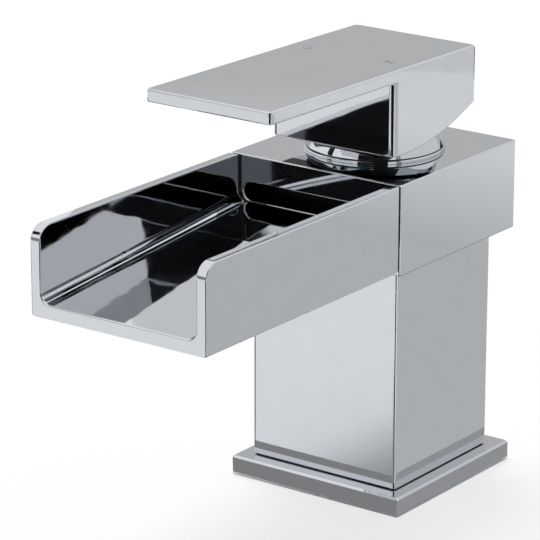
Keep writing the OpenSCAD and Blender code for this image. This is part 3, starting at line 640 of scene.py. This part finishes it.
def lever_grid():
    """Side views at stations along X. Near the ends the outline draws in by r - sqrt(r^2 - x^2). The
    plate's front, the block's front and the rear also step back, by R - sqrt(R^2 - x^2)."""
    side, outward = lever_side()
    end = LEVER_HALF - LEVER_CORNER + LEVER_CORNER * np.sin(np.linspace(0, np.pi / 2, 17))
    x = np.concatenate([-end[::-1], np.linspace(-end[0], end[0], 6)[1:-1], end])

    def step(radius):
        """How far an edge with that radius has drawn in at each x."""
        over = np.clip(np.abs(x) - (LEVER_HALF - radius), 0, radius)
        return radius - np.sqrt(radius ** 2 - over ** 2)

    y, z = side.T
    front, rear = y < LEVER_FRONT + 2 * LEVER_EDGE, y > LEVER_REAR - REAR_EDGE - 0.01
    below_plate = z < lever_top(BLOCK_FRONT) - LEVER_PLATE + 0.01
    block = (np.abs(y - BLOCK_FRONT) < 2 * LEVER_EDGE) & below_plate
    low_rear = rear & (z < GRUB_Z)
    wide, draw = step(LEVER_CORNER), step(LEVER_EDGE)
    back_step = np.outer(step(LEVER_NOSE), front) + np.outer(wide, block.astype(float) - rear)
    yy = y - np.outer(draw, outward[:, 0]) + back_step
    zz = z - np.outer(draw, outward[:, 1]) - np.outer(wide, low_rear * np.tan(HEEL_ANGLE))
    return np.stack([np.repeat(x[:, None], len(side), axis=1), yy, zz], axis=-1)


lever = skin("lever_chrome", lever_grid())

# %% [markdown]
# The marks are shallow grooves, 0.3 mm wide. On the real tap they are read from the lever's other side,
# so they stand upside down here. Each stroke is a small section carried along a path. The hollow that
# turns over the shroud is part of a ball, and the grub screw's hole widens for its plug.

# %% Marks and hollows of the lever
STROKE, GROOVE_DEEP = 0.3, 0.15


def groove(path):
    """A stroke: at each point of the path, a section of the stroke's width across it and one
    millimetre of height above the groove's floor."""
    path = np.asarray(path, float)
    ahead = np.gradient(path, axis=0)
    side = np.stack([-ahead[:, 1], ahead[:, 0]], axis=1) / np.linalg.norm(ahead, axis=1, keepdims=True)
    left, right_side = path + side * STROKE / 2, path - side * STROKE / 2
    rows = [np.column_stack([p, lever_top(p[:, 1]) + lift]) for p, lift in
            ((left, -GROOVE_DEEP), (right_side, -GROOVE_DEEP), (right_side, 1), (left, 1))]
    return skin("groove", np.stack(rows, axis=1))


C_MARK, C_R = np.array([-12.6, -10.8]), 1.3
H_MARK, H_HALF = np.array([11.5, -11.05]), np.array([0.8, 1.3])
SCREW_R, SCREW_START, PLUG_HOLE_R, PLUG_SEAT = 2.15, 2.0, 2.75, 15.35
SOCKET_LOW = 90.0  # inside the hollow, so that the socket opens into it
open_angle = np.radians(np.linspace(-132, 132, 33))
strokes = [C_MARK + C_R * np.stack([np.cos(open_angle), np.sin(open_angle)], axis=1)]
strokes += [H_MARK + H_HALF * np.array([(s, -1), (s, 1)]) for s in (-1, 1)]
strokes += [H_MARK + H_HALF * np.array([(-1, 0), (1, 0)])]
ball = sphere_profile(HOLLOW, PIVOT - HOLLOW, PIVOT + HOLLOW, 60)
screw_profile = [(SCREW_R, SCREW_START), (SCREW_R, PLUG_SEAT), (PLUG_HOLE_R, PLUG_SEAT),
                 (PLUG_HOLE_R, LEVER_REAR + 1.5)]
screw_hole = lay_back(turned(screw_profile, 64), GRUB_Z)
socket = box_cutter((-SOCKET_HALF, -SOCKET_HALF, SOCKET_LOW), (SOCKET_HALF, SOCKET_HALF, SOCKET_TOP))
cut(lever, [skin("hollow", turned(ball)), socket, skin("screw_hole", screw_hole)])
cut(lever, [groove(path) for path in strokes])
finish_piece(lever, "lever", ["handle"], CHROME)


def under_lever(c, n):
    """True in the hollow, on the block's flat underside and in the stem's socket."""
    in_hollow = np.linalg.norm(c - [0, 0, PIVOT], axis=1) < HOLLOW + 0.1
    below = (n[:, 2] < -0.99) & (c[:, 2] < BLOCK_UNDER + 0.1)
    in_socket = (np.abs(c[:, :2]).max(axis=1) < SOCKET_HALF + 0.1) & (c[:, 2] < SOCKET_TOP + 0.1)
    return in_hollow | below | in_socket


# The hollow, the block's flat underside and the socket get the dull plating, with painted shade in its
# dark colour.
line_inside(lever, under_lever, DULL_PAINTED_SHADE)
line_inside(lever, lambda c, n: (n[:, 1] < -0.99) & (c[:, 1] > BLOCK_FRONT - 0.1), HAND_CHROME)

# %% [markdown]
# ## Plug
# A small chromed plug closes the grub screw's hole in the back of the lever. It is a turned disc with
# a rounded rim that lies flush with the rear face.

# %% Plug
PLUG_R, PLUG_FRONT, PLUG_EDGE = 2.7, 15.4, 0.3
set_in, rise = rounding(PLUG_EDGE)
rim = np.stack([PLUG_R - set_in, LEVER_REAR - PLUG_EDGE + rise], axis=1)
plug_profile = np.concatenate([[(0.0, PLUG_FRONT), (PLUG_R, PLUG_FRONT)], rim, [(0.0, LEVER_REAR)]])
plug = skin("plug_chrome", lay_back(turned(plug_profile, 64), GRUB_Z))
finish_piece(plug, "lever", ["grub_plug"], CHROME)

# %% [markdown]
# ## Seals, brass, steel, acetal and ceramic
# The pieces inside the tap keep their CAD shapes and get the finish of the real part. The seals are
# moulded black rubber, with a satin skin and a fine grain. The valve body and the nut are cast brass,
# turned on a lathe, which leaves fine grooves round the axis: bands of height on the walls and rings
# on the flat faces. The stem, its pin, the dowels and the grub screw are turned stainless steel. The
# cartridge's shell, base and slip ring are moulded white acetal, its carrier and guide grey acetal,
# and its two discs are lapped alumina ceramic, nearly as smooth as glass.

# %% Finishes of the inner pieces
LATHE_FEED = 0.35  # mm between the grooves of a turned face, drawn a little coarser than real ones
STAIN_PATCH, CLOUD_PATCH = 7.0, 9.0  # mm across a stain of the metal, and across a cloud in a moulding


def turned_metal(name, light, dark, roughness):
    """A lathe-turned metal: the groove height is the sum of a wave along Z and a wave of rings round Z,
    and a noise of casting stains mixes the two colours."""
    material, tree, place = new_finish(name)
    scale = per_metre(LATHE_FEED) * np.pi / 10  # the wave texture turns once in pi / (10 scale)
    walls = add_node(tree, "ShaderNodeTexWave", {"Vector": place, "Scale": scale},
                     wave_type="BANDS", bands_direction="Z")
    faces = add_node(tree, "ShaderNodeTexWave", {"Vector": place, "Scale": scale},
                     wave_type="RINGS", rings_direction="Z")
    both = add_node(tree, "ShaderNodeMath", {
        0: walls.outputs["Fac"], 1: faces.outputs["Fac"]}, operation="ADD")
    bump = add_node(tree, "ShaderNodeBump", {
        "Height": both.outputs[0], "Strength": 0.5, "Distance": 0.01 * MM})
    stain = add_node(tree, "ShaderNodeTexNoise", {
        "Vector": place, "Scale": per_metre(STAIN_PATCH), "Detail": 4.0})
    tint = add_node(tree, "ShaderNodeMix", {
        "Factor": stain.outputs["Fac"], "A": linear(light), "B": linear(dark)}, data_type="RGBA")
    rough = add_node(tree, "ShaderNodeMapRange", {
        "Value": stain.outputs["Fac"], "To Min": roughness - 0.05, "To Max": roughness + 0.08})
    metal = add_node(tree, "ShaderNodeBsdfPrincipled", {
        "Base Color": tint.outputs["Result"], "Metallic": 1.0, "Roughness": rough.outputs["Result"],
        "Normal": bump.outputs["Normal"]})
    add_node(tree, "ShaderNodeOutputMaterial", {"Surface": metal.outputs["BSDF"]})
    return material


def moulded(name, light, dark, roughness, grain, depth, ior=1.5):
    """A moulded or lapped surface: a grain of the given size and depth in millimetres, and the two
    colours mixed by a slow noise."""
    material, tree, place = new_finish(name)
    skin_grain = add_node(tree, "ShaderNodeTexNoise", {
        "Vector": place, "Scale": per_metre(grain), "Detail": 3.0})
    bump = add_node(tree, "ShaderNodeBump", {
        "Height": skin_grain.outputs["Fac"], "Strength": 0.6, "Distance": depth * MM})
    cloud = add_node(tree, "ShaderNodeTexNoise", {
        "Vector": place, "Scale": per_metre(CLOUD_PATCH), "Detail": 2.0})
    tint = add_node(tree, "ShaderNodeMix", {
        "Factor": cloud.outputs["Fac"], "A": linear(light), "B": linear(dark)}, data_type="RGBA")
    rough = add_node(tree, "ShaderNodeMapRange", {
        "Value": cloud.outputs["Fac"], "To Min": roughness - 0.04, "To Max": roughness + 0.06})
    body = add_node(tree, "ShaderNodeBsdfPrincipled", {
        "Base Color": tint.outputs["Result"], "Roughness": rough.outputs["Result"], "IOR": ior,
        "Normal": bump.outputs["Normal"]})
    add_node(tree, "ShaderNodeOutputMaterial", {"Surface": body.outputs["BSDF"]})
    return material


INNER_FINISHES = {
    "black_rubber": moulded("moulded_black_rubber", "#161617", "#1F1F20", 0.5, 0.5, 0.01),
    "cast_brass": turned_metal("turned_cast_brass", "#E0C078", "#C9A35A", 0.28),
    "stainless_steel": turned_metal("turned_stainless_steel", "#C9CAC8", "#B4B5B2", 0.24),
    "white_acetal": moulded("moulded_white_acetal", "#EDEDE8", "#E4E4DE", 0.38, 0.8, 0.008, 1.48),
    "grey_acetal": moulded("moulded_grey_acetal", "#5B5E62", "#505357", 0.4, 0.8, 0.008, 1.48),
    "alumina_ceramic": moulded("lapped_alumina_ceramic", "#F0EEE8", "#E6E3DB", 0.16, 0.3, 0.002, 1.76),
}
dressed = []
for part in frame["record"]["subparts"]:
    finish = INNER_FINISHES.get(part["material_slot"])
    if finish is None:
        continue
    node = NODES[part["node"]]
    node.data.materials.clear()
    node.data.materials.append(finish)
    dressed.append(part["node"])
print("dressed CAD nodes:", len(dressed), dressed)

# %% [markdown]
# ## The studio
# A mirror shows only what stands round it, so the cards are placed as a product photographer places
# them. The tops look to the back, where a grey backdrop stands. The front faces look down to the white
# table in front, and the right-hand faces to a grey sheet lying on the table behind: painted shade of
# the table, darker near the tap and lighter further back. A black card stands beside the lens, and the
# inside of the channel and the front of the lever's block turn black in it, which gives chrome its
# contrast. A dim card at the front left shows in the head's face above the slot.
# Black sheets on the table at both front corners draw a thin dark line along the upright edges. A pole
# at the front left and a low strip at the back put dark strokes on the shroud. Two dim strips beside
# the plate stand for the shade it makes on the table. A light card at the back right takes the patch
# at the channel's lip just below white, and the other greys tone spots on the shroud and thin edges.
# Cards show in reflections alone: they cast no shadow, light nothing and the lens doesn't see them.

# %% Cards
MIDDLE = np.array([0.0, -40.0])  # mm, what the cards stand round
CARD_COLS = 33  # points along a bent card
CARD_LIFT = 0.5  # mm that a flat card lies above the table


def stand(name, points, faces, light):
    """A card of the studio. Its light is one level, or (axis, from, to, low level, high level): it
    climbs along that axis between two places in millimetres."""
    mesh = bpy.data.meshes.new(name)
    mesh.from_pydata((np.asarray(points, float) * MM).tolist(), [], faces)
    material, tree, place = new_finish(name)
    axis, start, end, low, high = light if isinstance(light, tuple) else ("Z", 0, 1, light, light)
    where = add_node(tree, "ShaderNodeSeparateXYZ", {"Vector": place})
    level = add_node(tree, "ShaderNodeMapRange", {
        "Value": where.outputs[axis], "From Min": start * MM, "From Max": end * MM,
        "To Min": low, "To Max": high})
    glow = add_node(tree, "ShaderNodeEmission", {
        "Color": (1, 1, 1, 1), "Strength": level.outputs["Result"]})
    add_node(tree, "ShaderNodeOutputMaterial", {"Surface": glow.outputs["Emission"]})
    mesh.materials.append(material)
    panel = bpy.data.objects.new(name, mesh)
    bpy.context.scene.collection.objects.link(panel)
    panel.visible_camera = panel.visible_diffuse = panel.visible_shadow = False
    return panel


def card(name, azimuths, distance, heights, light):
    """A panel bent on a circle round the tap: angles from -Y towards +X in degrees."""
    angle = np.radians(np.linspace(*azimuths, CARD_COLS))
    bend = MIDDLE + distance * np.stack([np.sin(angle), -np.cos(angle)], axis=1)
    points = stack([bend, bend], heights).reshape(-1, 3)
    faces = [(i, i + 1, i + 1 + CARD_COLS, i + CARD_COLS) for i in range(CARD_COLS - 1)]
    return stand(name, points, faces, light)


def lying(name, corners, light):
    """A flat card on the table, with its corners (x, y) given in turn."""
    return stand(name, [(x, y, CARD_LIFT) for x, y in corners], [tuple(range(len(corners)))], light)


card("card_black_by_lens", (9, 64), 230, (0, 285), 0.01)
card("card_grey_right", (75, 84), 400, (0, 700), 0.3)
card("card_light_back_right", (84, 166), 450, (0, 330), 0.76)
card("card_black_strip_back", (166, 178), 440, (0, 90), 0.03)
card("card_grey_backdrop", (166, 226), 450, (0, 330), ("Z", 216, 248, 0.56, 0.73))
card("card_grey_back_left", (-134, -100), 420, (0, 150), 0.5)
card("card_dim_front_left", (-60, 0), 600, (40, 185), 0.28)
card("card_black_pole", (-52, -41), 450, (205, 420), 0.02)
lying("card_black_table_right", [(27, -30), (40, -330), (228, -253)], 0.03)
lying("card_black_table_left", [(-26, -26), (-209, -240), (-380, -140), (-380, -24)], 0.03)
lying("card_grey_table_left", [(-27, -23), (-380, -23), (-380, 260), (-200, 260)], 0.35)
# Painted shade of the table behind the tap, seen only in the mirrors: darker near the tap, lighter
# further back.
lying("card_painted_shade_table", rectangle(34, -34, 600, 600), ("Y", 165, 270, 0.6, 0.87))
# Painted shadow: two dim strips for the shadow the plate casts on the table, seen in the plate's mirror
# sides.
lying("card_painted_shadow_right", rectangle(25.5, -30, 34, 70), 0.39)
lying("card_painted_shadow_front", rectangle(-36, -38.2, 25, -25.5), 0.29)

# %% [markdown]
# ## The white and the lamp
# The white round the tap is the world, at a strength of one for the lens and for reflections. It
# lights the paper more weakly, so that the paper doesn't clip. The table is white paper. For the lens
# most of it is given as plain white light and the rest as real paper, which keeps a faint, soft shadow
# under the tap. A mirror sees the real paper alone, as it is lit, because the photograph's front faces
# are grey. One large soft lamp, high at the back left, throws the shadow forward.

# %% World
world = bpy.data.worlds.new("studio")
world.use_nodes = True
bpy.context.scene.world = world
sky = world.node_tree
sky.nodes.clear()
FILL = 0.47  # the level of the sky that lights the paper; the lens and the mirrors see it at one
ray = add_node(sky, "ShaderNodeLightPath").outputs
lens_or_mirror = add_node(sky, "ShaderNodeMath", {
    0: ray["Is Camera Ray"], 1: ray["Is Glossy Ray"]}, operation="MAXIMUM")
or_glass = add_node(sky, "ShaderNodeMath", {
    0: lens_or_mirror.outputs[0], 1: ray["Is Transmission Ray"]}, operation="MAXIMUM")
sky_level = add_node(sky, "ShaderNodeMapRange", {
    "Value": or_glass.outputs[0], "To Min": FILL, "To Max": 1.0})
sky_light = add_node(sky, "ShaderNodeBackground", {
    "Color": (1, 1, 1, 1), "Strength": sky_level.outputs["Result"]})
add_node(sky, "ShaderNodeOutputWorld", {"Surface": sky_light.outputs["Background"]})
print("world nodes:", len(sky.nodes))

# %% Table and lamp
WHITE_SHARE = 0.7  # how much of the table's look is plain white for the lens
TABLE_HALF = 6.0  # m

floor_finish, tree, place = new_finish("table_paper")
fibre = add_node(tree, "ShaderNodeTexNoise", {"Vector": place, "Scale": per_metre(1.5), "Detail": 2.0})
shade = add_node(tree, "ShaderNodeMix", {
    "Factor": fibre.outputs["Fac"], "A": linear("#F7F7F7"), "B": linear("#FAFAFA")}, data_type="RGBA")
paper = add_node(tree, "ShaderNodeBsdfDiffuse", {"Color": shade.outputs["Result"]})
white = add_node(tree, "ShaderNodeEmission", {"Color": (1, 1, 1, 1), "Strength": 1.0})
ray = add_node(tree, "ShaderNodeLightPath").outputs
lens_ray = add_node(tree, "ShaderNodeMath", {
    0: ray["Is Camera Ray"], 1: ray["Is Transmission Ray"]}, operation="MAXIMUM")
share = add_node(tree, "ShaderNodeMath", {0: lens_ray.outputs[0], 1: WHITE_SHARE}, operation="MULTIPLY")
look = add_node(tree, "ShaderNodeMixShader", {
    0: share.outputs[0], 1: paper.outputs["BSDF"], 2: white.outputs["Emission"]})
add_node(tree, "ShaderNodeOutputMaterial", {"Surface": look.outputs["Shader"]})
floor_mesh = bpy.data.meshes.new("floor")
table_corners = rectangle(-TABLE_HALF, -TABLE_HALF, TABLE_HALF, TABLE_HALF)
floor_mesh.from_pydata([(x, y, 0) for x, y in table_corners], [], [(0, 1, 2, 3)])
floor_mesh.materials.append(floor_finish)
floor = bpy.data.objects.new("floor", floor_mesh)
bpy.context.scene.collection.objects.link(floor)

LAMP_PLACE, LAMP_SIDE, LAMP_WATTS = np.array([-0.5, 0.3, 1.5]), 0.8, 17.5
lamp = bpy.data.lights.new("softbox", "AREA")
lamp.size, lamp.energy = LAMP_SIDE, LAMP_WATTS
softbox = bpy.data.objects.new("softbox", lamp)
lamp_back = LAMP_PLACE / np.linalg.norm(LAMP_PLACE)
lamp_right = np.cross([0, 0, 1], lamp_back)
lamp_right = lamp_right / np.linalg.norm(lamp_right)
put_at(softbox, [lamp_right, np.cross(lamp_back, lamp_right), lamp_back], LAMP_PLACE)
softbox.visible_glossy = softbox.visible_camera = False
bpy.context.scene.view_settings.view_transform = "Standard"
print("lamp:", LAMP_WATTS, "W at", LAMP_PLACE, "m")
